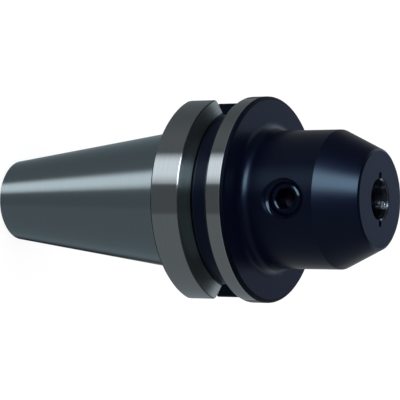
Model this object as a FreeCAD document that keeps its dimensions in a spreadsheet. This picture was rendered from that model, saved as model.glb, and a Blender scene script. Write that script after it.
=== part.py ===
import FreeCAD, Part
import os
import re
import Sketcher
from FreeCAD import Rotation, Vector

# Side lock holder for an end mill, in millimetres. The tool axis is Z, the nose points up and
# the small end of the taper stands on Z = 0. The clamping screw looks towards -Y, and the two
# drive slots lie towards +X and -X.

SIZES = {
    "gauge_diameter": 44.45,
    "taper_rise": 7,
    "taper_run": 24,
    "taper_length": 65.4,
    "small_end_chamfer": 0.5,
    "flange_gap": 2,
    "flange_diameter": 63,
    "flange_width": 25,
    "rear_edge_chamfer": 0.7,
    "front_edge_radius": 1,
    "groove_distance": 16.4,
    "groove_mouth": 9.6,
    "groove_angle": 60,
    "groove_floor_diameter": 54,
    "lip_edge_chamfer": 0.2,
    "nose_diameter": 42,
    "nose_root_radius": 3,
    "gauge_to_face": 63,
    "cone_length": 12.4,
    "face_diameter": 30,
    "face_edge_chamfer": 0.5,
    "slot_width": 16.1,
    "slot_floor_height": 22.6,
    "slot_length": 17.2,
    "slot_corner_radius": 2,
    "slot_entry_bevel": 2,
    "slot_edge_chamfer": 0.6,
    "bore_diameter": 12,
    "bore_depth": 50,
    "bore_chamfer": 0.5,
    "coolant_groove_width": 1.8,
    "coolant_groove_reach": 8.2,
    "coolant_groove_depth": 46,
    "passage_diameter": 8,
    "passage_cone_angle": 118,
    "stud_hole_diameter": 16,
    "stud_hole_depth": 43,
    "stud_pilot_diameter": 17,
    "stud_pilot_depth": 8,
    "screw_diameter": 12,
    "screw_clearance": 0.05,
    "screw_from_face": 22,
    "screw_length": 12,
    "screw_tip_gap": 1,
    "screw_tip_diameter": 8.5,
    "screw_end_diameter": 8.4,
    "screw_end_slope": 30,
    "screw_mouth_diameter": 13.8,
    "screw_mouth_angle": 90,
    "socket_flats": 6,
    "socket_depth": 6,
    "socket_mouth_diameter": 8.2,
    "socket_mouth_angle": 120,
    "cut_margin": 1,
}

# Lengths along the axis, from the small end, and the radii that several cuts share.
GAUGE_LINE = "taper_length"
FLANGE_REAR = "(taper_length + flange_gap)"
FLANGE_FRONT = "(taper_length + flange_gap + flange_width)"
FACE = "(taper_length + gauge_to_face)"
GROOVE_CENTRE = "(taper_length + groove_distance)"
GROOVE_DEPTH = "((flange_diameter - groove_floor_diameter) / 2)"
GROOVE_HALF_FLOOR = "(groove_mouth / 2 - %s * tan(groove_angle / 2))" % GROOVE_DEPTH
GROOVE_FLOOR_RADIUS = "(groove_floor_diameter / 2)"
LIP_HALF_GAP = "(groove_mouth / 2 + lip_edge_chamfer)"
LIP_WALL_HALF_GAP = "(groove_mouth / 2 - lip_edge_chamfer * sin(groove_angle / 2))"
LIP_WALL_RADIUS = "(flange_diameter / 2 - lip_edge_chamfer * cos(groove_angle / 2))"
GAUGE_RADIUS = "(gauge_diameter / 2)"
SMALL_END_RADIUS = "(gauge_diameter / 2 - taper_length * taper_rise / taper_run / 2)"
FLANGE_RADIUS = "(flange_diameter / 2)"
NOSE_RADIUS = "(nose_diameter / 2)"
FACE_RADIUS = "(face_diameter / 2)"
BORE_RADIUS = "(bore_diameter / 2)"
PASSAGE_RADIUS = "(passage_diameter / 2)"
SCREW_HEIGHT = "(taper_length + gauge_to_face - screw_from_face)"
SCREW_RADIUS = "(screw_diameter / 2 - screw_clearance)"

document = FreeCAD.newDocument("side_lock_holder")
sheet = document.addObject("Spreadsheet::Sheet", "Sizes")
for row, (alias, number) in enumerate(SIZES.items(), start=1):
    sheet.set("A%d" % row, alias)
    sheet.set("B%d" % row, str(number))
    sheet.setAlias("B%d" % row, alias)
document.recompute()


def in_sheet(text):
    """Points each size named in an expression at its cell of the sheet."""
    return re.sub(r"[a-z_]+", lambda word: "Sizes." + word[0] if word[0] in SIZES else word[0], text)


def value(text):
    """Works out an expression of named sizes."""
    return float(sheet.evalExpression(in_sheet(text)))


def bind(target, setting, text):
    """Ties one setting of a feature to an expression of named sizes."""
    target.setExpression(setting, in_sheet(text))


def new_body(name):
    body = document.addObject("PartDesign::Body", name)
    body.Label = name
    return body


def origin_part(body, role):
    """Finds a body's own origin plane or axis by its role."""
    return next(item for item in body.Origin.OriginFeatures if item.Role == role)


def new_sketch(body, name, plane, height="0"):
    """Starts a sketch on an origin plane of the body, or at a height in front of it."""
    sketch = body.newObject("Sketcher::SketchObject", name)
    sketch.AttachmentSupport = (origin_part(body, plane), [""])
    sketch.MapMode = "FlatFace"
    bind(sketch, "AttachmentOffset.Base.z", height)
    document.recompute()
    return sketch


def pin(sketch, geometry, point, axis, text):
    """Holds one point of a sketch at a distance from an axis, given by an expression."""
    if text == "0":
        ruler = -2 if axis == "X" else -1
        sketch.addConstraint(Sketcher.Constraint("PointOnObject", geometry, point, ruler))
        return
    rule = Sketcher.Constraint("Distance" + axis, -1, 1, geometry, point, value(text))
    index = sketch.addConstraint(rule)
    name = "%s_%d_%d" % (axis.lower(), geometry, point)
    sketch.renameConstraint(index, name)
    bind(sketch, "Constraints." + name, text)


def arc_between(centre, start, end):
    """Makes the arc that runs counter-clockwise about a centre from one point to another."""
    circle = Part.Circle(centre, Vector(0, 0, 1), (start - centre).Length)
    return Part.ArcOfCircle(circle, circle.parameter(start), circle.parameter(end))


def draw_outline(sketch, corners, arc_centres=None):
    """Draws a closed outline, with each corner tied to its two expressions.

    Lines join the corners, but where a corner's number is in arc_centres, a round stretch about
    that centre runs from it to the next corner. Such an outline is drawn counter-clockwise.
    """
    arc_centres = arc_centres or {}
    points = [Vector(value(across), value(up), 0) for across, up in corners]
    count = len(points)
    for index, start in enumerate(points):
        end = points[(index + 1) % count]
        stretch = Part.LineSegment(start, end)
        if index in arc_centres:
            across, up = arc_centres[index]
            stretch = arc_between(Vector(value(across), value(up), 0), start, end)
        sketch.addGeometry(stretch, False)
    for index in range(count):
        sketch.addConstraint(Sketcher.Constraint("Coincident", index, 2, (index + 1) % count, 1))
    for index, (across, up) in enumerate(corners):
        pin(sketch, index, 1, "X", across)
        pin(sketch, index, 1, "Y", up)
    for index, (across, up) in arc_centres.items():
        pin(sketch, index, 3, "X", across)


def draw_circle(sketch, across, up, diameter):
    """Draws a circle with its centre and diameter tied to expressions."""
    centre = Vector(value(across), value(up), 0)
    radius = value("(%s) / 2" % diameter)
    circle = sketch.addGeometry(Part.Circle(centre, Vector(0, 0, 1), radius), False)
    pin(sketch, circle, 3, "X", across)
    pin(sketch, circle, 3, "Y", up)
    index = sketch.addConstraint(Sketcher.Constraint("Diameter", circle, 2 * radius))
    sketch.renameConstraint(index, "diameter")
    bind(sketch, "Constraints.diameter", diameter)


def turned(body, kind, name, sketch):
    """Turns a half profile about Z, as added metal (Revolution) or as a cut (Groove)."""
    feature = body.newObject("PartDesign::" + kind, name)
    feature.Profile = sketch
    feature.ReferenceAxis = (origin_part(body, "Z_Axis"), [""])
    feature.Angle = 360
    document.recompute()
    return feature


def cut_depth(body, name, sketch, length, reversed_cut=False):
    """Cuts a sketch into the body to a length given by an expression."""
    feature = body.newObject("PartDesign::Pocket", name)
    feature.Profile = sketch
    feature.Type = "Length"
    feature.Reversed = reversed_cut
    bind(feature, "Length", length)
    document.recompute()
    return feature


def edges_where(body, is_wanted):
    """Names the edges of the body's present shape that pass a test."""
    edges = enumerate(body.Tip.Shape.Edges, start=1)
    return ["Edge%d" % number for number, edge in edges if is_wanted(edge)]


def ring_at(radius, height):
    """Makes a test for full or broken circles about Z, of a radius and at a height."""
    wanted_radius = value(radius)
    wanted_height = value(height)

    def is_wanted(edge):
        curve = edge.Curve
        if not isinstance(curve, Part.Circle) or abs(abs(curve.Axis.z) - 1) > CLOSE:
            return False
        on_axis = abs(curve.Center.x) < CLOSE and abs(curve.Center.y) < CLOSE
        same_size = abs(curve.Radius - wanted_radius) < CLOSE
        return on_axis and same_size and abs(curve.Center.z - wanted_height) < CLOSE

    return is_wanted


def dress_edges(body, kind, name, is_wanted, setting, text):
    """Chamfers or rounds the edges of the body's present shape that pass a test."""
    base = body.Tip
    edges = edges_where(body, is_wanted)
    assert edges, name + " finds no edge"
    feature = body.newObject("PartDesign::" + kind, name)
    feature.Base = (base, edges)
    bind(feature, setting, text)
    document.recompute()
    return feature


CLOSE = 0.001


# Holder body: one turned piece, from the taper to the nose

def turn_outside(body):
    sketch = new_sketch(body, "outside_profile", "XZ_Plane")
    draw_outline(sketch, [
        ("0", "0"),
        (SMALL_END_RADIUS, "0"),
        (GAUGE_RADIUS, GAUGE_LINE),
        (GAUGE_RADIUS, FLANGE_REAR),
        (FLANGE_RADIUS, FLANGE_REAR),
        (FLANGE_RADIUS, GROOVE_CENTRE + " - " + LIP_HALF_GAP),
        (LIP_WALL_RADIUS, GROOVE_CENTRE + " - " + LIP_WALL_HALF_GAP),
        (GROOVE_FLOOR_RADIUS, GROOVE_CENTRE + " - " + GROOVE_HALF_FLOOR),
        (GROOVE_FLOOR_RADIUS, GROOVE_CENTRE + " + " + GROOVE_HALF_FLOOR),
        (LIP_WALL_RADIUS, GROOVE_CENTRE + " + " + LIP_WALL_HALF_GAP),
        (FLANGE_RADIUS, GROOVE_CENTRE + " + " + LIP_HALF_GAP),
        (FLANGE_RADIUS, FLANGE_FRONT),
        (NOSE_RADIUS, FLANGE_FRONT),
        (NOSE_RADIUS, FACE + " - cone_length"),
        (FACE_RADIUS, FACE),
        ("0", FACE),
    ])
    turned(body, "Revolution", "turned_form", sketch)


def dress_turned_edges(body):
    chamfers = [
        ("small_end_edge", SMALL_END_RADIUS, "0", "small_end_chamfer"),
        ("flange_rear_edge", FLANGE_RADIUS, FLANGE_REAR, "rear_edge_chamfer"),
        ("face_edge", FACE_RADIUS, FACE, "face_edge_chamfer"),
    ]
    for name, radius, height, size in chamfers:
        dress_edges(body, "Chamfer", name, ring_at(radius, height), "Size", size)
    roundings = [
        ("flange_front_edge", FLANGE_RADIUS, FLANGE_FRONT, "front_edge_radius"),
        ("nose_root", NOSE_RADIUS, FLANGE_FRONT, "nose_root_radius"),
    ]
    for name, radius, height, size in roundings:
        dress_edges(body, "Fillet", name, ring_at(radius, height), "Radius", size)


def bore_inside(body):
    """Tool bore with its mouth chamfer, a drilled cone, and the coolant passage behind it."""
    cone_run = "((bore_diameter - passage_diameter) / 2 / tan(passage_cone_angle / 2))"
    sketch = new_sketch(body, "bore_profile", "XZ_Plane")
    draw_outline(sketch, [
        ("0", FACE + " + cut_margin"),
        (BORE_RADIUS + " + bore_chamfer + cut_margin", FACE + " + cut_margin"),
        (BORE_RADIUS, FACE + " - bore_chamfer"),
        (BORE_RADIUS, FACE + " - bore_depth"),
        (PASSAGE_RADIUS, FACE + " - bore_depth - " + cone_run),
        (PASSAGE_RADIUS, "stud_hole_depth / 2"),
        ("0", "stud_hole_depth / 2"),
    ])
    turned(body, "Groove", "tool_bore", sketch)


def drill_stud_hole(body):
    """Threaded hole for the pull stud in the small end, with its plain pilot."""
    sketch = new_sketch(body, "stud_hole_centre", "XY_Plane")
    draw_circle(sketch, "0", "0", "stud_hole_diameter")
    document.recompute()
    hole = body.newObject("PartDesign::Hole", "stud_hole")
    hole.Profile = sketch
    hole.Reversed = True
    hole.ThreadType = "None"
    hole.DepthType = "Dimension"
    hole.DrillPoint = "Angled"
    hole.HoleCutType = "Counterbore"
    bind(hole, "Diameter", "stud_hole_diameter")
    bind(hole, "Depth", "stud_hole_depth")
    bind(hole, "HoleCutDiameter", "stud_pilot_diameter")
    bind(hole, "HoleCutDepth", "stud_pilot_depth")
    document.recompute()
    return hole


def mill_coolant_grooves(body):
    """Two narrow grooves along the bore, drawn as one round-ended slot across it."""
    half_width = "(coolant_groove_width / 2)"
    end_centre = "(coolant_groove_reach - coolant_groove_width / 2)"
    sketch = new_sketch(body, "coolant_groove_outline", "XY_Plane", FACE)
    draw_outline(sketch, [
        ("-" + end_centre, "-" + half_width),
        (end_centre, "-" + half_width),
        (end_centre, half_width),
        ("-" + end_centre, half_width),
    ], {1: (end_centre, "0"), 3: ("-" + end_centre, "0")})
    cut_depth(body, "coolant_grooves", sketch, "coolant_groove_depth")


def mill_drive_slots(body):
    """Two drive slots through the rear lip and the gripper groove, half a turn apart."""
    half_width = "(slot_width / 2)"
    half_entry = "(slot_width / 2 + slot_entry_bevel)"
    half_end = "(slot_width / 2 - slot_corner_radius)"
    before = FLANGE_REAR + " - cut_margin"
    bevel_end = FLANGE_REAR + " + slot_entry_bevel"
    slot_end = FLANGE_REAR + " + slot_length"
    corner = FLANGE_REAR + " + slot_length - slot_corner_radius"
    sketch = new_sketch(body, "drive_slot_outline", "YZ_Plane", "slot_floor_height")
    draw_outline(sketch, [
        ("-" + half_entry, before),
        (half_entry, before),
        (half_entry, FLANGE_REAR),
        (half_width, bevel_end),
        (half_width, corner),
        (half_end, slot_end),
        ("-" + half_end, slot_end),
        ("-" + half_width, corner),
        ("-" + half_width, bevel_end),
        ("-" + half_entry, FLANGE_REAR),
    ], {4: (half_end, corner), 6: ("-" + half_end, corner)})
    slot = cut_depth(body, "drive_slot", sketch, FLANGE_RADIUS, reversed_cut=True)
    pattern = body.newObject("PartDesign::PolarPattern", "drive_slots")
    pattern.Originals = [slot]
    pattern.Axis = (origin_part(body, "Z_Axis"), [""])
    pattern.Angle = 360
    pattern.Occurrences = 2
    body.Tip = pattern
    document.recompute()


def dress_slot_edges(body):
    """Breaks the long edges that the slots leave on the rim of the rear lip."""
    half_width = value("slot_width / 2")
    rear = value(FLANGE_REAR)
    lip_front = value(GROOVE_CENTRE + " - " + LIP_HALF_GAP)
    flange_radius = value(FLANGE_RADIUS)

    def is_lip_edge(edge):
        middle = edge.CenterOfMass
        on_wall = isinstance(edge.Curve, Part.Line) and abs(abs(middle.y) - half_width) < CLOSE
        at_rim = abs(Vector(middle.x, middle.y, 0).Length - flange_radius) < CLOSE
        return on_wall and at_rim and rear < middle.z < lip_front

    dress_edges(body, "Chamfer", "slot_edges", is_lip_edge, "Size", "slot_edge_chamfer")


def drill_screw_hole(body):
    """Hole for the clamping screw, from the side of the nose into the tool bore."""
    sketch = new_sketch(body, "screw_hole_centre", "XZ_Plane", NOSE_RADIUS)
    draw_circle(sketch, "0", SCREW_HEIGHT, "screw_diameter")
    document.recompute()
    hole = body.newObject("PartDesign::Hole", "screw_hole")
    hole.Profile = sketch
    hole.ThreadType = "None"
    hole.DepthType = "Dimension"
    hole.DrillPoint = "Flat"
    hole.HoleCutType = "Countersink"
    hole.HoleCutCustomValues = True
    bind(hole, "Diameter", "screw_diameter")
    bind(hole, "Depth", "(nose_diameter - bore_diameter / 2) / 2")
    bind(hole, "HoleCutDiameter", "screw_mouth_diameter")
    bind(hole, "HoleCutCountersinkAngle", "screw_mouth_angle")
    document.recompute()
    return hole


def make_holder_body():
    body = new_body("holder_body")
    turn_outside(body)
    dress_turned_edges(body)
    bore_inside(body)
    drill_stud_hole(body)
    mill_coolant_grooves(body)
    mill_drive_slots(body)
    dress_slot_edges(body)
    drill_screw_hole(body)
    return body


# Clamping screw: a flat point set screw, drawn standing on its tip and laid into its hole

def make_clamping_screw():
    body = new_body("clamping_screw")
    end_rise = "(%s - screw_end_diameter / 2) * tan(screw_end_slope)" % SCREW_RADIUS
    sketch = new_sketch(body, "screw_profile", "XZ_Plane")
    draw_outline(sketch, [
        ("0", "0"),
        ("screw_tip_diameter / 2", "0"),
        (SCREW_RADIUS, SCREW_RADIUS + " - screw_tip_diameter / 2"),
        (SCREW_RADIUS, "screw_length - " + end_rise),
        ("screw_end_diameter / 2", "screw_length"),
        ("0", "screw_length"),
    ])
    turned(body, "Revolution", "screw_form", sketch)
    cut_hex_socket(body)
    bind(body, "Placement.Base.y", "-(bore_diameter / 2 + screw_tip_gap)")
    bind(body, "Placement.Base.z", SCREW_HEIGHT)
    body.Placement.Rotation = Rotation(Vector(1, 0, 0), 90)
    return body


def cut_hex_socket(body):
    """Hexagon socket with a coned mouth and the cone that its drill left."""
    corner = "(socket_flats / 2 / cos(30))"
    half_corner = "(socket_flats / 2 * tan(30))"
    sketch = new_sketch(body, "socket_outline", "XY_Plane", "screw_length")
    draw_outline(sketch, [
        (corner, "0"),
        (half_corner, "socket_flats / 2"),
        ("-" + half_corner, "socket_flats / 2"),
        ("-" + corner, "0"),
        ("-" + half_corner, "-socket_flats / 2"),
        (half_corner, "-socket_flats / 2"),
    ])
    cut_depth(body, "socket", sketch, "socket_depth")
    mouth_run = "(socket_mouth_diameter / 2 / tan(socket_mouth_angle / 2))"
    floor = "(screw_length - socket_depth)"
    cones = new_sketch(body, "socket_cones", "XZ_Plane")
    draw_outline(cones, [
        ("0", "screw_length - " + mouth_run),
        ("socket_mouth_diameter / 2", "screw_length"),
        ("0", "screw_length"),
    ])
    turned(body, "Groove", "socket_mouth", cones)
    point = new_sketch(body, "socket_point", "XZ_Plane")
    draw_outline(point, [
        ("0", floor + " - socket_flats / 2 / tan(passage_cone_angle / 2)"),
        ("socket_flats / 2", floor),
        ("0", floor),
    ])
    turned(body, "Groove", "socket_drill_cone", point)


def check_document():
    """Stops if any object failed or any sub-part has no valid single solid."""
    for item in document.Objects:
        assert "Invalid" not in item.State and "Error" not in item.State, item.Label + " failed"
    for body in SUB_PARTS:
        assert not body.Shape.isNull() and body.Shape.isValid(), body.Label + " has no valid shape"
        assert len(body.Shape.Solids) == 1, body.Label + " is not one solid"


def write_parts():
    os.makedirs("parts", exist_ok=True)
    for body in SUB_PARTS:
        body.Shape.exportStep("parts/%s.step" % body.Label)
        box = body.Shape.BoundBox
        print(body.Label, "volume", round(body.Shape.Volume, 1), "box", box)


SUB_PARTS = [make_holder_body(), make_clamping_screw()]
document.recompute()
check_document()
write_parts()
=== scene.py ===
import bpy
import bmesh
from math import cos, sin, radians, pi, tan
from mathutils import Matrix, Vector


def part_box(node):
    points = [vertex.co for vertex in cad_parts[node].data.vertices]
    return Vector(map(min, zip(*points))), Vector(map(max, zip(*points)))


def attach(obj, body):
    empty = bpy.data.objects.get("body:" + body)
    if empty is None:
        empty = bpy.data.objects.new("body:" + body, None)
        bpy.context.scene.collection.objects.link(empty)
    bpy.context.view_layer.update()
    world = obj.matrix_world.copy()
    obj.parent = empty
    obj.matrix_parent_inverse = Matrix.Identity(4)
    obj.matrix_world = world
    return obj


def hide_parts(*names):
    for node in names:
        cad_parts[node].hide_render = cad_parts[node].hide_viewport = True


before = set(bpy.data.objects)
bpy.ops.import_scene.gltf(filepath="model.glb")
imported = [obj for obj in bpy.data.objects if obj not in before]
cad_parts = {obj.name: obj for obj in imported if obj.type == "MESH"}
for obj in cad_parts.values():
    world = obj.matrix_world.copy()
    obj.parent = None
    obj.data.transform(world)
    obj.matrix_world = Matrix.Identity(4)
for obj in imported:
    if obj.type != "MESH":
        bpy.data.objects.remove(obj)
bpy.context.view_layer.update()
MM = 0.001

# The camera stands where it stood in the photograph, on the side that the clamping screw faces
CAMERA_PLACE = (0.00005, -0.57243, 0.39172)
CAMERA_LOOKS_DOWN = radians(29.566)
CAMERA_TURN = radians(0.9)
CAMERA_ROLL = radians(0.124)
CAMERA_LENS = 190.67
CAMERA_SENSOR = 36
CAMERA_NEAR = 0.01
CAMERA_FAR = 50

# The holder's own sizes, worked out in the CAD part
GAUGE_RADIUS = 22.225 * MM
GAUGE_HEIGHT = 65.4 * MM
TAPER_SLOPE = 7 / 48
FLANGE_RADIUS = 31.5 * MM
FLANGE_REAR = 67.4 * MM
FLANGE_FRONT = 92.4 * MM
GROOVE_MIDDLE = 81.8 * MM
GROOVE_HALF_WIDTH = 4.8 * MM
GROOVE_EDGE = 0.2 * MM
GROOVE_FLOOR_RADIUS = 27 * MM
GROOVE_FLOOR_HALF = 2.2 * MM
SLOT_HALF_WIDTH = 8.05 * MM
NOSE_RADIUS = 21 * MM
TOOL_BORE_RADIUS = 6 * MM
TOOL_BORE_FLOOR = 78.4 * MM
SIDE_HOLE_RADIUS = 6 * MM
SIDE_MOUTH_RADIUS = 6.75 * MM
STUD_HOLE_RADIUS = 8 * MM
STUD_PILOT_DEPTH = 8 * MM

# The clamping screw: its ends and radius come from its box in the CAD part
screw_low, screw_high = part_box("clamping_screw")
SCREW_AXIS_HEIGHT = (screw_low[2] + screw_high[2]) / 2
SCREW_RADIUS = (screw_high[0] - screw_low[0]) / 2
SCREW_TIP = -screw_high[1]
SCREW_END = -screw_low[1]
SCREW_PITCH = 1.75 * MM
SCREW_THREAD_DEPTH = 1.02 * MM
SCREW_TIP_RADIUS = 4.25 * MM
SCREW_TIP_SLOPE = radians(45)
SCREW_END_RADIUS = 4.2 * MM
SCREW_END_SLOPE = radians(30)
SOCKET_HALF_FLATS = 3 * MM
SOCKET_MOUTH_RADIUS = 3.62 * MM
SOCKET_MOUTH_SLOPE = radians(30)
SOCKET_DEPTH = 6 * MM
SOCKET_DRILL_RADIUS = 2.9 * MM
SOCKET_DRILL_DEPTH = 1.7 * MM

# The threads in the holder, and how a thread is drawn
STUD_PITCH = 2 * MM
STUD_THREAD_DEPTH = 1.08 * MM
STUD_THREAD_LENGTH = 32 * MM
HOLE_THREAD_SLOPE = radians(-45)
THREAD_ROOM = 0.1 * MM
THREAD_START = 0.13 * MM
STEPS_ROUND = 72
STEPS_ACROSS = 16

# A thread across one pitch: the inner flat, a flank, the outer flat and the other flank
INNER_FLAT_END = 4 / 16
OUTER_FLAT_START = 9 / 16
OUTER_FLAT_END = 11 / 16

# Points nearer than this are joined, and edges sharper than this stay sharp
STRIP_JOINT = 0.001 * MM
PIECE_JOINT = 0.002 * MM
SHARP_EDGE = radians(25)

# Where the finishes of the holder, its painted shade and its painted highlight start and stop
FINISH_SOFTNESS = 0.06 * MM
TAPER_SKIN = 0.2 * MM
TAPER_START = 0.4 * MM
TAPER_END = FLANGE_REAR - 0.1 * MM
RIM_INSIDE = FLANGE_RADIUS - 0.1 * MM
RIM_FRONT = FLANGE_FRONT - 1.15 * MM
# Painted highlight: a thin brighter line along the front of the front rim
RIM_HIGHLIGHT = (FLANGE_FRONT - 1.5 * MM, FLANGE_FRONT - 1.4 * MM)
SLOT_EDGE = SLOT_HALF_WIDTH + 0.03 * MM
GROOVE_REACH = GROOVE_HALF_WIDTH + GROOVE_EDGE
WALL_INSIDE = GROOVE_FLOOR_RADIUS + 0.1 * MM
# Painted shade on the groove's walls just above its floor
WALL_ROOT_SHADE = (GROOVE_FLOOR_RADIUS + 0.65 * MM, GROOVE_FLOOR_RADIUS + 0.5 * MM)
# Painted shade along the groove floor's edges, in the corners by its walls
CORNER_SHADE_INSIDE = GROOVE_FLOOR_HALF - 0.45 * MM
CORNER_SHADE_OUTSIDE = GROOVE_FLOOR_HALF - 0.1 * MM
BORE_OUTSIDE = TOOL_BORE_RADIUS + 0.3 * MM
BORE_END = TOOL_BORE_FLOOR + 0.2 * MM
# The flange's rounded front edge: rougher, and darkened with painted shade
DULL_START = FLANGE_FRONT - 1.1 * MM
DULL_EDGE = (FLANGE_RADIUS - 1.1 * MM, FLANGE_RADIUS - 0.9 * MM)
SOCKET_SHADE_EDGE = (3.3 * MM, 3.2 * MM)

# Blue-black oxide. On the flange's rounded front edge and in the screw's socket it is rougher, and
# darkened in colour and gloss with painted shade
OXIDE_METAL = 0.1
OXIDE_GLOSS = 0.082
OXIDE_COLOUR = (0.0018, 0.0027, 0.0102, 1)
OXIDE_TINT = (0.55, 0.85, 1, 1)
OXIDE_ROUGHNESS = 0.3
# Painted shade: darker colour and gloss on the flange's rounded front edge
DULL_SHADE_COLOUR = (0.0012, 0.0018, 0.005, 1)
DULL_SHADE_TINT = (0.1, 0.12, 0.13, 1)
DULL_ROUGHNESS = 0.55
SCREW_ROUGHNESS = 0.16
# Painted shade: darker colour and gloss inside the screw's socket
SOCKET_SHADE_COLOUR = (0.0006, 0.001, 0.004, 1)
SOCKET_SHADE_TINT = (0.3, 0.3, 0.35, 1)
SOCKET_ROUGHNESS = 0.5

# Ground steel, with painted shade in the groove's corners and a painted highlight along the front
# of the front rim
STEEL_TINT = (0.85, 0.93, 0.97, 1)
TAPER_COLOUR = (0.15, 0.18, 0.194, 1)
TAPER_ROUGHNESS = 0.17
WALL_COLOUR = (0.168, 0.2, 0.212, 1)
WALL_ROUGHNESS = 0.2
WALL_ROOT_SHADE_COLOUR = (0.012, 0.014, 0.02, 1)
# Painted shade: dark colour in the groove's corners, on the walls' roots and the floor's edges
CORNER_SHADE_COLOUR = (0.018, 0.02, 0.023, 1)
RIM_COLOUR = (0.163, 0.184, 0.197, 1)
# The painted highlight's colour, lighter than the rim
RIM_HIGHLIGHT_COLOUR = (0.2, 0.23, 0.25, 1)
RIM_ROUGHNESS = 0.1
EDGE_COLOUR = (0.03, 0.032, 0.036, 1)
EDGE_ROUGHNESS = 0.12
BORE_COLOUR = (0.24, 0.28, 0.335, 1)
BORE_ROUGHNESS = 0.15

# The fine lines that turning and grinding leave: they tip the surface and streak its colour
GRAIN_PITCH = 0.04 * MM
GRAIN_DETAIL = 2.0
GRAIN_TIP = 0.04
BORE_GRAIN_TIP = 1.25
STREAK_PITCH = 0.35 * MM
STREAK_DETAIL = 3.0
STREAK_DARKEST = 0.85
STREAK_RANGE = 0.3

# The pale floor: the camera sees most of it as an even glow, and the rest as paint with a shadow
WHITE = (1, 1, 1, 1)
FLOOR_REACH = 6.0
FLOOR_PAINT = (0.98, 0.98, 0.98, 1)
FLOOR_GLOW = 1.06
FLOOR_GLOW_SHARE = 0.8

# What the steel mirrors below the horizon: directions in degrees, and levels where 1 is white
RIGHT_CARD = (-15.5, -17.5)
LOW_CARD = (-31, -35)
FRONT_LEVEL = 0.3
RIGHT_LEVEL = 0.5
LOW_FRONT_LEVEL = 0.375
LOW_RIGHT_LEVEL = 0.455
DARK_CORNER = (-128, -155)
DARK_CORNER_LEVEL = 0.04
LEFT_CARD = (50, 10, 110, 40)
LEFT_CARD_LEVEL = 0.41
FLOOR_SHADE = (-35, -42)
FLOOR_SHADE_LEVEL = 0.84
SIDES = (65, 85)
SIDES_END = (125, 150)
GAP_HEIGHT = (-24, -14)
GAP_LEVEL = 0.15

# The strip light leans: lower down it stands further round the holder from the camera's side
STRIP_LEAN = 0.25
STRIP_LEAN_START = -30
STRIP_BAND = (11, 19, 55, 14)
STRIP_NEAR_EDGE = (16, 17.5)
STRIP_FAR_EDGE = (55, 50)
STRIP_LEAST = 0.18
STRIP_LEVEL = 3.3

# What the steel mirrors above the horizon
HORIZON = (-10, 4)
LAMP_ROUND = (14, 6, 52, 11)
LAMP_HEIGHT = (2, 6, 48, 8)
LAMP_LEVEL = 39.0
BACK = (134, 144)
FRONT_TOP = 34
SIDES_TOP = 12
BACK_TOP = 36
TOP_SOFTNESS = 14
OVERHEAD_LEVEL = 0.05
RIGHT_SIDE_LEVEL = 0.62
LEFT_SIDE_LEVEL = 0.15
RIGHT_BACK = (-120, -140)
LEFT_BACK_LEVEL = 0.74
RIGHT_BACK_LEVEL = 0.5
BRIGHT_CARD = (134, 10, 168, 16)
BRIGHT_CARD_SHIFT = 5
BRIGHT_CARD_LEVEL = 1.5

# The cards behind the holder and low down are a little blue
BACK_COLOUR = (0.9, 1, 1.32, 1)
LOW_COLOUR = (0.93, 1.03, 1.06, 1)


def add(tree, kind, inputs=None, **settings):
    """Adds a node and fills its sockets with values or with other nodes' outputs."""
    made = tree.nodes.new(kind)
    for name, value in settings.items():
        setattr(made, name, value)
    for name, value in (inputs or {}).items():
        fill(tree, made.inputs[name], value)
    return made


def fill(tree, socket, value):
    """Gives a socket a plain value, or links another node's output to it."""
    if isinstance(value, bpy.types.NodeSocket):
        tree.links.new(value, socket)
    else:
        socket.default_value = value


def reckon(tree, operation, first, second=0.0, third=0.0):
    """Adds a Math node and returns its result."""
    made = add(tree, "ShaderNodeMath", {0: first, 1: second, 2: third}, operation=operation)
    return made.outputs[0]


def product(tree, first, *others):
    """Multiplies all the values."""
    for other in others:
        first = reckon(tree, "MULTIPLY", first, other)
    return first


def largest(tree, first, *others):
    """Returns the largest of the values."""
    for other in others:
        first = reckon(tree, "MAXIMUM", first, other)
    return first


def without(tree, place, taken):
    """Takes one place away from another that it lies in or crosses."""
    return reckon(tree, "SUBTRACT", place, product(tree, place, taken))


def length_of(tree, x, y, z):
    """Returns the length of a vector."""
    vector = add(tree, "ShaderNodeCombineXYZ", {0: x, 1: y, 2: z}).outputs[0]
    return add(tree, "ShaderNodeVectorMath", {0: vector}, operation="LENGTH").outputs["Value"]


def ramp_between(tree, value, low, high, smooth=True):
    """Returns 0 at low and 1 at high, with a soft or an even step between."""
    kind = "SMOOTHSTEP" if smooth else "LINEAR"
    made = add(tree, "ShaderNodeMapRange", {"Value": value, "From Min": low, "From Max": high},
               interpolation_type=kind, clamp=True)
    return made.outputs["Result"]


def band_between(tree, value, low, low_edge, high, high_edge):
    """Returns 1 between low and high, with its own soft edge at each end."""
    rise = ramp_between(tree, value, low, low + low_edge)
    fall = ramp_between(tree, value, high, high - high_edge)
    return product(tree, rise, fall)


def ramp_degrees(tree, value, edge):
    """Returns 0 at the edge's first angle and 1 at its second, both given in degrees."""
    return ramp_between(tree, value, *(radians(each) for each in edge))


def band_degrees(tree, value, band):
    """Returns 1 inside a band of start, soft start, end and soft end, given in degrees."""
    return band_between(tree, value, *(radians(each) for each in band))


def past(tree, value, limit, softness=FINISH_SOFTNESS):
    """Returns 1 where the value is past the limit."""
    return ramp_between(tree, value, limit, limit + softness)


def short_of(tree, value, limit):
    """Returns 1 where the value falls short of the limit."""
    return ramp_between(tree, value, limit, limit - FINISH_SOFTNESS)


def blend(tree, share, first, second):
    """Returns first where share is 0 and second where it is 1."""
    made = add(tree, "ShaderNodeMix", {"Factor": share, "A": first, "B": second},
               data_type="FLOAT")
    return made.outputs["Result"]


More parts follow.
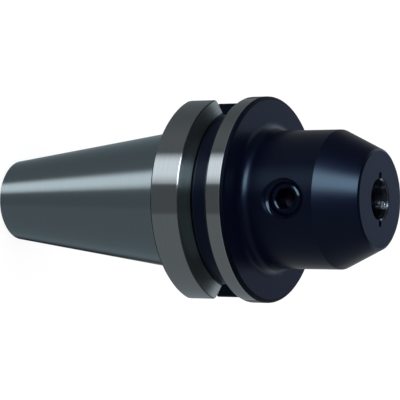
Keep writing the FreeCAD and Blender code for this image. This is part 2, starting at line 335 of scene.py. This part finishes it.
def blend_colour(tree, share, first, second):
    """Returns the first colour where share is 0 and the second where it is 1."""
    made = add(tree, "ShaderNodeMix", data_type="RGBA")
    for name, value in (("Factor_Float", share), ("A_Color", first), ("B_Color", second)):
        fill(tree, next(each for each in made.inputs if each.identifier == name), value)
    return next(each for each in made.outputs if each.identifier == "Result_Color")


def place_camera():
    """Puts the camera in the photograph's place, with its picture's right along the tool axis."""
    camera = bpy.data.objects.new("photo_camera", bpy.data.cameras.new("photo_camera"))
    bpy.context.scene.collection.objects.link(camera)
    camera.data.sensor_width = CAMERA_SENSOR
    camera.data.lens = CAMERA_LENS
    camera.data.clip_start = CAMERA_NEAR
    camera.data.clip_end = CAMERA_FAR
    look = Matrix.Rotation(-CAMERA_LOOKS_DOWN, 3, "X") @ Vector((0, 1, 0))
    up = Matrix.Rotation(CAMERA_ROLL, 3, look) @ Vector((-1, 0, 0))
    right = look.cross(up)
    axes = Matrix((right, up, -look)).transposed().to_4x4()
    place = Matrix.Translation(CAMERA_PLACE) @ axes
    camera.matrix_world = Matrix.Rotation(CAMERA_TURN, 4, "Z") @ place
    bpy.context.scene.camera = camera


def mirrored_rays(tree, path):
    """Returns 1 for what is seen in metal or through glass."""
    return largest(tree, path.outputs["Is Glossy Ray"], path.outputs["Is Transmission Ray"])


def shape_strip_light(tree, angle, height):
    """Returns how much of the strip light shows in each direction, faintest at its near edge."""
    lean = reckon(tree, "MULTIPLY_ADD", height, STRIP_LEAN, radians(-STRIP_LEAN_START) * STRIP_LEAN)
    along = reckon(tree, "ADD", angle, lean)
    strip = band_degrees(tree, along, STRIP_BAND)
    strip = reckon(tree, "MULTIPLY_ADD", strip, 1 - STRIP_LEAST, STRIP_LEAST)
    return product(tree, ramp_degrees(tree, along, STRIP_NEAR_EDGE), strip,
                   ramp_degrees(tree, along, STRIP_FAR_EDGE))


def light_below(tree, angle, height, away, aside):
    """Grey cards and the strip light, with the share of the low card's colour."""
    right = ramp_degrees(tree, angle, RIGHT_CARD)
    low = ramp_degrees(tree, height, LOW_CARD)
    grey = blend(tree, low, blend(tree, right, FRONT_LEVEL, RIGHT_LEVEL),
                 blend(tree, right, LOW_FRONT_LEVEL, LOW_RIGHT_LEVEL))
    corner = product(tree, low, ramp_degrees(tree, angle, DARK_CORNER))
    grey = blend(tree, corner, grey, DARK_CORNER_LEVEL)
    grey = blend(tree, band_degrees(tree, angle, LEFT_CARD), grey, LEFT_CARD_LEVEL)
    strip = shape_strip_light(tree, angle, height)
    level = blend(tree, strip, grey, STRIP_LEVEL)
    shade = ramp_degrees(tree, height, FLOOR_SHADE)
    level = product(tree, level, blend(tree, shade, 1.0, FLOOR_SHADE_LEVEL))
    beside = reckon(tree, "SUBTRACT", aside, ramp_degrees(tree, away, SIDES_END))
    gap = product(tree, beside, ramp_degrees(tree, height, GAP_HEIGHT))
    return blend(tree, gap, level, GAP_LEVEL), without(tree, low, strip)


def light_above(tree, angle, height, away, aside):
    """The backdrop, dark overhead, and the lamp, with the share of the back card's colour."""
    back = ramp_degrees(tree, away, BACK)
    top = blend(tree, aside, radians(FRONT_TOP),
                blend(tree, back, radians(SIDES_TOP), radians(BACK_TOP)))
    overhead = ramp_between(tree, reckon(tree, "SUBTRACT", height, top), 0.0, radians(TOP_SOFTNESS))
    side_level = blend(tree, ramp_degrees(tree, angle, SIDES), RIGHT_SIDE_LEVEL, LEFT_SIDE_LEVEL)
    right_back = ramp_degrees(tree, angle, RIGHT_BACK)
    shifted = reckon(tree, "MULTIPLY_ADD", right_back, radians(BRIGHT_CARD_SHIFT), away)
    bright = band_degrees(tree, shifted, BRIGHT_CARD)
    back_level = blend(tree, right_back, LEFT_BACK_LEVEL, RIGHT_BACK_LEVEL)
    back_level = blend(tree, bright, back_level, BRIGHT_CARD_LEVEL)
    level = blend(tree, overhead, blend(tree, back, side_level, back_level), OVERHEAD_LEVEL)
    lamp = product(tree, band_degrees(tree, angle, LAMP_ROUND),
                   band_degrees(tree, height, LAMP_HEIGHT))
    return blend(tree, lamp, level, LAMP_LEVEL), without(tree, back, bright)


def light_the_studio():
    """White for the camera and for plain light, with cards and lamps in what metal mirrors."""
    world = bpy.data.worlds.new("studio")
    bpy.context.scene.world = world
    world.use_nodes = True
    tree = world.node_tree
    tree.nodes.clear()

    # The angle round the holder grows from the camera's side towards its left
    direction = add(tree, "ShaderNodeTexCoord").outputs["Generated"]
    x, y, z = add(tree, "ShaderNodeSeparateXYZ", {0: direction}).outputs
    left = reckon(tree, "MULTIPLY", x, -1.0)
    front = reckon(tree, "MULTIPLY", y, -1.0)
    angle = reckon(tree, "ARCTAN2", left, front)
    height = reckon(tree, "ARCSINE", z)
    away = reckon(tree, "ABSOLUTE", angle)
    aside = ramp_degrees(tree, away, SIDES)

    below, low_card = light_below(tree, angle, height, away, aside)
    above, back_card = light_above(tree, angle, height, away, aside)
    horizon = ramp_degrees(tree, height, HORIZON)
    mirror = mirrored_rays(tree, add(tree, "ShaderNodeLightPath"))
    level = blend(tree, mirror, 1.0, blend(tree, horizon, below, above))
    colour = blend_colour(tree, product(tree, back_card, horizon, mirror), WHITE, BACK_COLOUR)
    colour = blend_colour(tree, product(tree, low_card, mirror), colour, LOW_COLOUR)
    sky = add(tree, "ShaderNodeBackground", {"Color": colour, "Strength": level})
    add(tree, "ShaderNodeOutputWorld", {"Surface": sky.outputs[0]})


def lay_the_floor():
    """A plain pale floor that the camera sees as white and that keeps the soft shadow."""
    mesh = bpy.data.meshes.new("studio_floor")
    turns = ((-1, -1), (1, -1), (1, 1), (-1, 1))
    corners = [(x * FLOOR_REACH, y * FLOOR_REACH, 0) for x, y in turns]
    mesh.from_pydata(corners, [], [(0, 1, 2, 3)])
    floor = bpy.data.objects.new("studio_floor", mesh)
    bpy.context.scene.collection.objects.link(floor)
    material = bpy.data.materials.new("pale_floor")
    material.use_nodes = True
    tree = material.node_tree
    tree.nodes.clear()
    path = add(tree, "ShaderNodeLightPath")
    seen = largest(tree, path.outputs["Is Camera Ray"], mirrored_rays(tree, path))
    paint = add(tree, "ShaderNodeBsdfDiffuse", {"Color": FLOOR_PAINT})
    glow = add(tree, "ShaderNodeEmission", {"Color": WHITE, "Strength": FLOOR_GLOW})
    mix = add(tree, "ShaderNodeMixShader", {
        0: product(tree, seen, FLOOR_GLOW_SHARE), 1: paint.outputs[0], 2: glow.outputs[0]})
    add(tree, "ShaderNodeOutputMaterial", {"Surface": mix.outputs[0]})
    mesh.materials.append(material)
    floor.visible_glossy = False


def start_metal(name):
    """Starts a metal's material, and returns its tree, its shader and the place on the piece."""
    material = bpy.data.materials.new(name)
    material.use_nodes = True
    tree = material.node_tree
    shader = tree.nodes["Principled BSDF"]
    shader.inputs["Metallic"].default_value = OXIDE_METAL
    shader.inputs["Specular IOR Level"].default_value = OXIDE_GLOSS
    place = add(tree, "ShaderNodeTexCoord").outputs["Object"]
    x, y, z = add(tree, "ShaderNodeSeparateXYZ", {0: place}).outputs
    return material, tree, shader, (x, y, z)


def line_noise(tree, z, pitch, detail):
    """Noise in lines that run round the piece, about one pitch apart."""
    line = reckon(tree, "MULTIPLY", z, 1 / pitch)
    noise = add(tree, "ShaderNodeTexNoise", {"W": line, "Scale": 1.0, "Detail": detail},
                noise_dimensions="1D")
    return noise.outputs[0]


def grained_normal(tree, z, depth):
    """Tips the surface up and down in fine lines, as turning and grinding leave them."""
    grain = line_noise(tree, z, GRAIN_PITCH, GRAIN_DETAIL)
    tip = product(tree, reckon(tree, "SUBTRACT", grain, 0.5), depth)
    offset = add(tree, "ShaderNodeCombineXYZ", {0: 0.0, 1: 0.0, 2: tip}).outputs[0]
    normal = add(tree, "ShaderNodeNewGeometry").outputs["Normal"]
    leaning = add(tree, "ShaderNodeVectorMath", {0: normal, 1: offset}, operation="ADD").outputs[0]
    return add(tree, "ShaderNodeVectorMath", {0: leaning}, operation="NORMALIZE").outputs[0]


def streaked(tree, z, colour):
    """Makes the colour a little lighter and darker in lines that run round the piece."""
    noise = line_noise(tree, z, STREAK_PITCH, STREAK_DETAIL)
    share = reckon(tree, "MULTIPLY_ADD", noise, STREAK_RANGE, STREAK_DARKEST)
    return add(tree, "ShaderNodeVectorMath", {0: colour, 3: share}, operation="SCALE").outputs[0]


def find_taper(tree, radius, z):
    """Returns 1 on the ground taper, between its small end and the flange."""
    small_end = GAUGE_RADIUS - GAUGE_HEIGHT * TAPER_SLOPE
    cone = reckon(tree, "MULTIPLY_ADD", z, TAPER_SLOPE, small_end)
    outside_cone = reckon(tree, "SUBTRACT", radius, cone)
    return product(tree, past(tree, outside_cone, -TAPER_SKIN), short_of(tree, z, TAPER_END),
                   past(tree, z, TAPER_START))


def find_bore(tree, radius, z):
    """Returns 1 on the wall of the tool bore."""
    return product(tree, short_of(tree, radius, BORE_OUTSIDE), past(tree, z, BORE_END))


def find_dull_shaded_edge(tree, radius, z):
    """Returns 1 on the flange's rounded front edge, which is rougher and darkened with painted
    shade.
    """
    return product(tree, past(tree, z, DULL_START), ramp_between(tree, radius, *DULL_EDGE))


def find_groove(tree, radius, z):
    """Returns 1 in the gripper groove, off its floor, and on the bevelled edges of its lips."""
    in_groove = band_between(tree, z, GROOVE_MIDDLE - GROOVE_REACH, FINISH_SOFTNESS,
                             GROOVE_MIDDLE + GROOVE_REACH, FINISH_SOFTNESS)
    off_floor = past(tree, radius, WALL_INSIDE)
    outer = past(tree, radius, FLANGE_RADIUS - GROOVE_EDGE, FINISH_SOFTNESS / 2)
    return in_groove, off_floor, product(tree, in_groove, outer)


def find_corner_shade(tree, z, in_groove, off_floor):
    """Returns 1 on a line of painted shade along each side of the groove's floor, in its corners by
    the walls.
    """
    from_middle = reckon(tree, "ABSOLUTE", reckon(tree, "SUBTRACT", z, GROOVE_MIDDLE))
    line = band_between(tree, from_middle, CORNER_SHADE_INSIDE, FINISH_SOFTNESS,
                        CORNER_SHADE_OUTSIDE, FINISH_SOFTNESS)
    on_floor = reckon(tree, "SUBTRACT", in_groove, off_floor)
    return largest(tree, product(tree, line, on_floor), 0.0)


def make_holder_steel():
    """Blue-black oxide, ground bright on the taper, the rims, the groove's walls and the bore."""
    material, tree, shader, (x, y, z) = start_metal("holder_finish")
    radius = length_of(tree, x, y, 0.0)
    taper = find_taper(tree, radius, z)
    bore = find_bore(tree, radius, z)
    dull_shaded = find_dull_shaded_edge(tree, radius, z)
    in_groove, off_floor, edge = find_groove(tree, radius, z)
    corner_shade = find_corner_shade(tree, z, in_groove, off_floor)

    # The walls and the rims are ground outside the drive slots only
    beside_slot = past(tree, reckon(tree, "ABSOLUTE", y), SLOT_EDGE)
    wall = reckon(tree, "SUBTRACT", product(tree, in_groove, off_floor), edge)
    wall = product(tree, wall, beside_slot)
    wall_root_shade = product(tree, wall, ramp_between(tree, radius, *WALL_ROOT_SHADE))
    rim = without(tree, past(tree, radius, RIM_INSIDE), in_groove)
    rim = product(tree, rim, short_of(tree, z, RIM_FRONT), beside_slot)
    rim_highlight = product(tree, rim, ramp_between(tree, z, *RIM_HIGHLIGHT))

    # Painted shade darkens the flange's front edge, the walls' roots and the floor's edges; a
    # painted highlight brightens the front of the front rim
    colour = blend_colour(tree, dull_shaded, OXIDE_COLOUR, DULL_SHADE_COLOUR)
    for place, coat in ((taper, TAPER_COLOUR), (wall, WALL_COLOUR), (wall_root_shade, WALL_ROOT_SHADE_COLOUR),
                        (corner_shade, CORNER_SHADE_COLOUR), (rim, RIM_COLOUR),
                        (rim_highlight, RIM_HIGHLIGHT_COLOUR), (edge, EDGE_COLOUR), (bore, BORE_COLOUR)):
        colour = blend_colour(tree, place, colour, coat)
    rough = blend(tree, dull_shaded, OXIDE_ROUGHNESS, DULL_ROUGHNESS)
    for place, roughness in ((taper, TAPER_ROUGHNESS), (wall, WALL_ROUGHNESS),
                             (rim, RIM_ROUGHNESS), (edge, EDGE_ROUGHNESS), (bore, BORE_ROUGHNESS)):
        rough = blend(tree, place, rough, roughness)
    ground = largest(tree, taper, rim, wall, edge, bore, corner_shade)
    tint = blend_colour(tree, dull_shaded, OXIDE_TINT, DULL_SHADE_TINT)
    fill(tree, shader.inputs["Base Color"], streaked(tree, z, colour))
    fill(tree, shader.inputs["Roughness"], rough)
    fill(tree, shader.inputs["Metallic"], blend(tree, ground, OXIDE_METAL, 1.0))
    fill(tree, shader.inputs["Specular Tint"], blend_colour(tree, ground, tint, STEEL_TINT))
    tip = blend(tree, bore, GRAIN_TIP, BORE_GRAIN_TIP)
    fill(tree, shader.inputs["Normal"], grained_normal(tree, z, tip))
    return material


def make_oxide_steel():
    """Blue-black oxide of the screw and of the threads; inside the screw's socket it is rougher and
    darkened with painted shade.
    """
    material, tree, shader, (x, y, z) = start_metal("black_oxide")
    above_axis = reckon(tree, "SUBTRACT", z, SCREW_AXIS_HEIGHT)
    radius = length_of(tree, x, 0.0, above_axis)
    # Painted shade: the socket's inside is darkened in colour and gloss, and is rougher
    socket = ramp_between(tree, radius, *SOCKET_SHADE_EDGE)
    colour = blend_colour(tree, socket, OXIDE_COLOUR, SOCKET_SHADE_COLOUR)
    tint = blend_colour(tree, socket, OXIDE_TINT, SOCKET_SHADE_TINT)
    fill(tree, shader.inputs["Base Color"], colour)
    fill(tree, shader.inputs["Specular Tint"], tint)
    fill(tree, shader.inputs["Roughness"], blend(tree, socket, SCREW_ROUGHNESS, SOCKET_ROUGHNESS))
    return material


def open_thread_tree(outside):
    """Starts the node tree of a thread, with its sizes as named inputs."""
    name = "outside_thread" if outside else "inside_thread"
    tree = bpy.data.node_groups.new(name, "GeometryNodeTree")
    for label in ("Pitch", "Turns", "Base", "Inner Radius", "Outer Radius", "Low End",
                  "Low Radius", "Low Slope", "High End", "High Radius", "High Slope"):
        tree.interface.new_socket(label, in_out="INPUT", socket_type="NodeSocketFloat")
    tree.interface.new_socket("Finish", in_out="INPUT", socket_type="NodeSocketMaterial")
    tree.interface.new_socket("Thread", in_out="OUTPUT", socket_type="NodeSocketGeometry")
    return tree


def thread_radius(tree, sizes, across, height, outside):
    """The thread's radius across its pitch, cut back by the chamfer at each end."""
    rise = ramp_between(tree, across, INNER_FLAT_END, OUTER_FLAT_START, smooth=False)
    fall = ramp_between(tree, across, OUTER_FLAT_END, 1.0, smooth=False)
    lift = reckon(tree, "SUBTRACT", rise, fall)
    radius = blend(tree, lift, sizes["Inner Radius"], sizes["Outer Radius"])
    from_low = reckon(tree, "SUBTRACT", height, sizes["Low End"])
    from_high = reckon(tree, "SUBTRACT", sizes["High End"], height)
    for distance, end in ((from_low, "Low"), (from_high, "High")):
        limit = reckon(tree, "MULTIPLY_ADD", distance, sizes[end + " Slope"],
                       sizes[end + " Radius"])
        radius = reckon(tree, "MINIMUM" if outside else "MAXIMUM", radius, limit)
    return radius


def make_thread_tree(outside):
    """Winds a strip one pitch wide round the Z axis, and holds it between its two ends."""
    tree = open_thread_tree(outside)
    sizes = add(tree, "NodeGroupInput").outputs
    columns = reckon(tree, "MULTIPLY_ADD", sizes["Turns"], float(STEPS_ROUND), 1.0)
    strip = add(tree, "GeometryNodeMeshGrid", {
        "Size X": sizes["Turns"], "Size Y": 1.0,
        "Vertices X": columns, "Vertices Y": STEPS_ACROSS + 1}).outputs["Mesh"]
    point = add(tree, "GeometryNodeInputPosition").outputs[0]
    x, y, z = add(tree, "ShaderNodeSeparateXYZ", {0: point}).outputs
    turn = reckon(tree, "MULTIPLY_ADD", sizes["Turns"], 0.5, x)
    across = reckon(tree, "ADD", y, 0.5)
    angle = product(tree, turn, 2 * pi)
    climb = reckon(tree, "ADD", turn, across)
    height = reckon(tree, "MULTIPLY_ADD", climb, sizes["Pitch"], sizes["Base"])
    height = reckon(tree, "MINIMUM", height, sizes["High End"])
    height = reckon(tree, "MAXIMUM", height, sizes["Low End"])
    radius = thread_radius(tree, sizes, across, height, outside)
    place = add(tree, "ShaderNodeCombineXYZ", {
        0: product(tree, radius, reckon(tree, "COSINE", angle)),
        1: product(tree, radius, reckon(tree, "SINE", angle)),
        2: height}).outputs[0]
    shape = add(tree, "GeometryNodeSetPosition", {"Geometry": strip, "Position": place}).outputs[0]
    shape = add(tree, "GeometryNodeMergeByDistance", {
        "Geometry": shape, "Distance": STRIP_JOINT}).outputs[0]
    if not outside:
        shape = add(tree, "GeometryNodeFlipFaces", {"Mesh": shape}).outputs[0]
    shape = add(tree, "GeometryNodeRealizeInstances", {"Geometry": shape}).outputs[0]
    shape = add(tree, "GeometryNodeSetMaterial", {
        "Geometry": shape, "Material": sizes["Finish"]}).outputs[0]
    add(tree, "NodeGroupOutput", {"Thread": shape})
    return tree


def wind_thread(outside, sizes):
    """Runs a thread's tree with the given sizes, and returns its plain mesh in a new shape."""
    tree = make_thread_tree(outside)
    carrier = bpy.data.objects.new("thread", bpy.data.meshes.new("thread"))
    bpy.context.scene.collection.objects.link(carrier)
    modifier = carrier.modifiers.new("thread", "NODES")
    modifier.node_group = tree
    for socket in tree.interface.items_tree:
        if socket.in_out == "INPUT":
            modifier[socket.identifier] = sizes[socket.name]
    view = bpy.context.evaluated_depsgraph_get()
    mesh = bpy.data.meshes.new_from_object(carrier.evaluated_get(view))
    bpy.data.objects.remove(carrier)
    shape = bmesh.new()
    shape.from_mesh(mesh)
    return shape


def thread_sizes(pitch, inner, outer, low, high, finish):
    """Names a thread's sizes. Each end is a height, and a chamfer's radius and slope."""
    low_end, low_radius, low_slope = low
    high_end, high_radius, high_slope = high
    first = int(low_end / pitch) - 1
    turns = int(high_end / pitch) + 1 - first
    return {"Pitch": pitch, "Turns": float(turns), "Base": first * pitch + THREAD_START,
            "Inner Radius": inner, "Outer Radius": outer,
            "Low End": low_end, "Low Radius": low_radius, "Low Slope": 1 / tan(low_slope),
            "High End": high_end, "High Radius": high_radius, "High Slope": 1 / tan(high_slope),
            "Finish": finish}


def ring_at(radius, height):
    """A round ring, for add_rings."""
    return lambda angle: (radius, height)


def add_rings(shape, rings):
    """Joins rings of points, each a function from the angle to a radius and a height."""
    rows = []
    for ring in rings:
        row = []
        for step in range(STEPS_ROUND):
            angle = 2 * pi * step / STEPS_ROUND
            radius, height = ring(angle)
            row.append(shape.verts.new((radius * cos(angle), radius * sin(angle), height)))
        rows.append(row)
    for first, second in zip(rows, rows[1:]):
        for step in range(STEPS_ROUND):
            after = (step + 1) % STEPS_ROUND
            shape.faces.new((first[step], first[after], second[after], second[step]))


def hexagon_radius(angle):
    """The distance of the socket's wall from its axis, in one direction."""
    return SOCKET_HALF_FLATS / cos((angle + pi / 6) % (pi / 3) - pi / 6)


def mouth_depth(angle):
    """How deep the socket's coned mouth meets its wall, in one direction."""
    return (SOCKET_MOUTH_RADIUS - hexagon_radius(angle)) * tan(SOCKET_MOUTH_SLOPE)


def finish_piece(name, shape, turn, body, finish):
    """Closes a shape, puts it in its place and hands it to the frame."""
    bmesh.ops.remove_doubles(shape, verts=shape.verts, dist=PIECE_JOINT)
    bmesh.ops.recalc_face_normals(shape, faces=shape.faces)
    shape.transform(turn)
    mesh = bpy.data.meshes.new(name)
    shape.to_mesh(mesh)
    shape.free()
    mesh.materials.append(finish)
    mesh.shade_smooth()
    mesh.set_sharp_from_angle(angle=SHARP_EDGE)
    piece = bpy.data.objects.new(name, mesh)
    bpy.context.scene.collection.objects.link(piece)
    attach(piece, body)
    return piece


def to_screw_axis():
    """Turns a shape made along Z so that it points out of the side hole, towards -Y."""
    return Matrix.Translation((0, 0, SCREW_AXIS_HEIGHT)) @ Matrix.Rotation(pi / 2, 4, "X")


def make_clamping_screw(finish):
    """The set screw with its rolled thread, flat point, sloped end and hexagon socket."""
    sizes = thread_sizes(SCREW_PITCH, SCREW_RADIUS - SCREW_THREAD_DEPTH, SCREW_RADIUS,
                         (SCREW_TIP, SCREW_TIP_RADIUS, SCREW_TIP_SLOPE),
                         (SCREW_END, SCREW_END_RADIUS, SCREW_END_SLOPE), finish)
    shape = wind_thread(True, sizes)
    floor = SCREW_END - SOCKET_DEPTH
    add_rings(shape, [ring_at(0, SCREW_TIP), ring_at(SCREW_TIP_RADIUS, SCREW_TIP)])
    add_rings(shape, [
        ring_at(SCREW_END_RADIUS, SCREW_END),
        ring_at(SOCKET_MOUTH_RADIUS, SCREW_END),
        lambda angle: (hexagon_radius(angle), SCREW_END - mouth_depth(angle)),
        lambda angle: (hexagon_radius(angle), floor),
        ring_at(SOCKET_DRILL_RADIUS, floor),
        ring_at(0, floor - SOCKET_DRILL_DEPTH)])
    screw = finish_piece("threaded_clamping_screw", shape, to_screw_axis(), "screw",
                         finish)
    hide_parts("clamping_screw")


def make_hole_thread(name, pitch, inner, outer, low, high, turn, finish):
    """The thread inside a hole, as a sleeve whose back is sunk in the hole's wall."""
    sizes = thread_sizes(pitch, inner, outer, (low, outer, HOLE_THREAD_SLOPE),
                         (high, outer, HOLE_THREAD_SLOPE), finish)
    shape = wind_thread(False, sizes)
    back = outer + THREAD_ROOM
    add_rings(shape, [ring_at(outer, low), ring_at(back, low), ring_at(back, high),
                      ring_at(outer, high)])
    finish_piece(name, shape, turn, "holder", finish)


def make_side_hole_thread(finish):
    """The thread that the clamping screw turns in, from the bore to the countersink."""
    inner = SCREW_RADIUS - SCREW_THREAD_DEPTH + THREAD_ROOM
    outer = SIDE_HOLE_RADIUS + THREAD_ROOM / 2
    low = TOOL_BORE_RADIUS + THREAD_ROOM
    high = NOSE_RADIUS - SIDE_MOUTH_RADIUS + outer
    make_hole_thread("side_hole_thread", SCREW_PITCH, inner, outer, low, high, to_screw_axis(),
                     finish)


def make_stud_hole_thread(finish):
    """The thread for the pull stud, from the floor of its pilot inwards."""
    inner = STUD_HOLE_RADIUS - STUD_THREAD_DEPTH
    outer = STUD_HOLE_RADIUS + THREAD_ROOM / 2
    low = STUD_PILOT_DEPTH
    high = STUD_PILOT_DEPTH + STUD_THREAD_LENGTH
    make_hole_thread("stud_hole_thread", STUD_PITCH, inner, outer, low, high, Matrix.Identity(4),
                     finish)


place_camera()
light_the_studio()
lay_the_floor()
bpy.context.scene.view_settings.view_transform = "Standard"

oxide_steel = make_oxide_steel()
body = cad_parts["holder_body"]
body.data.materials.clear()
body.data.materials.append(make_holder_steel())
make_clamping_screw(oxide_steel)
make_side_hole_thread(oxide_steel)
make_stud_hole_thread(oxide_steel)
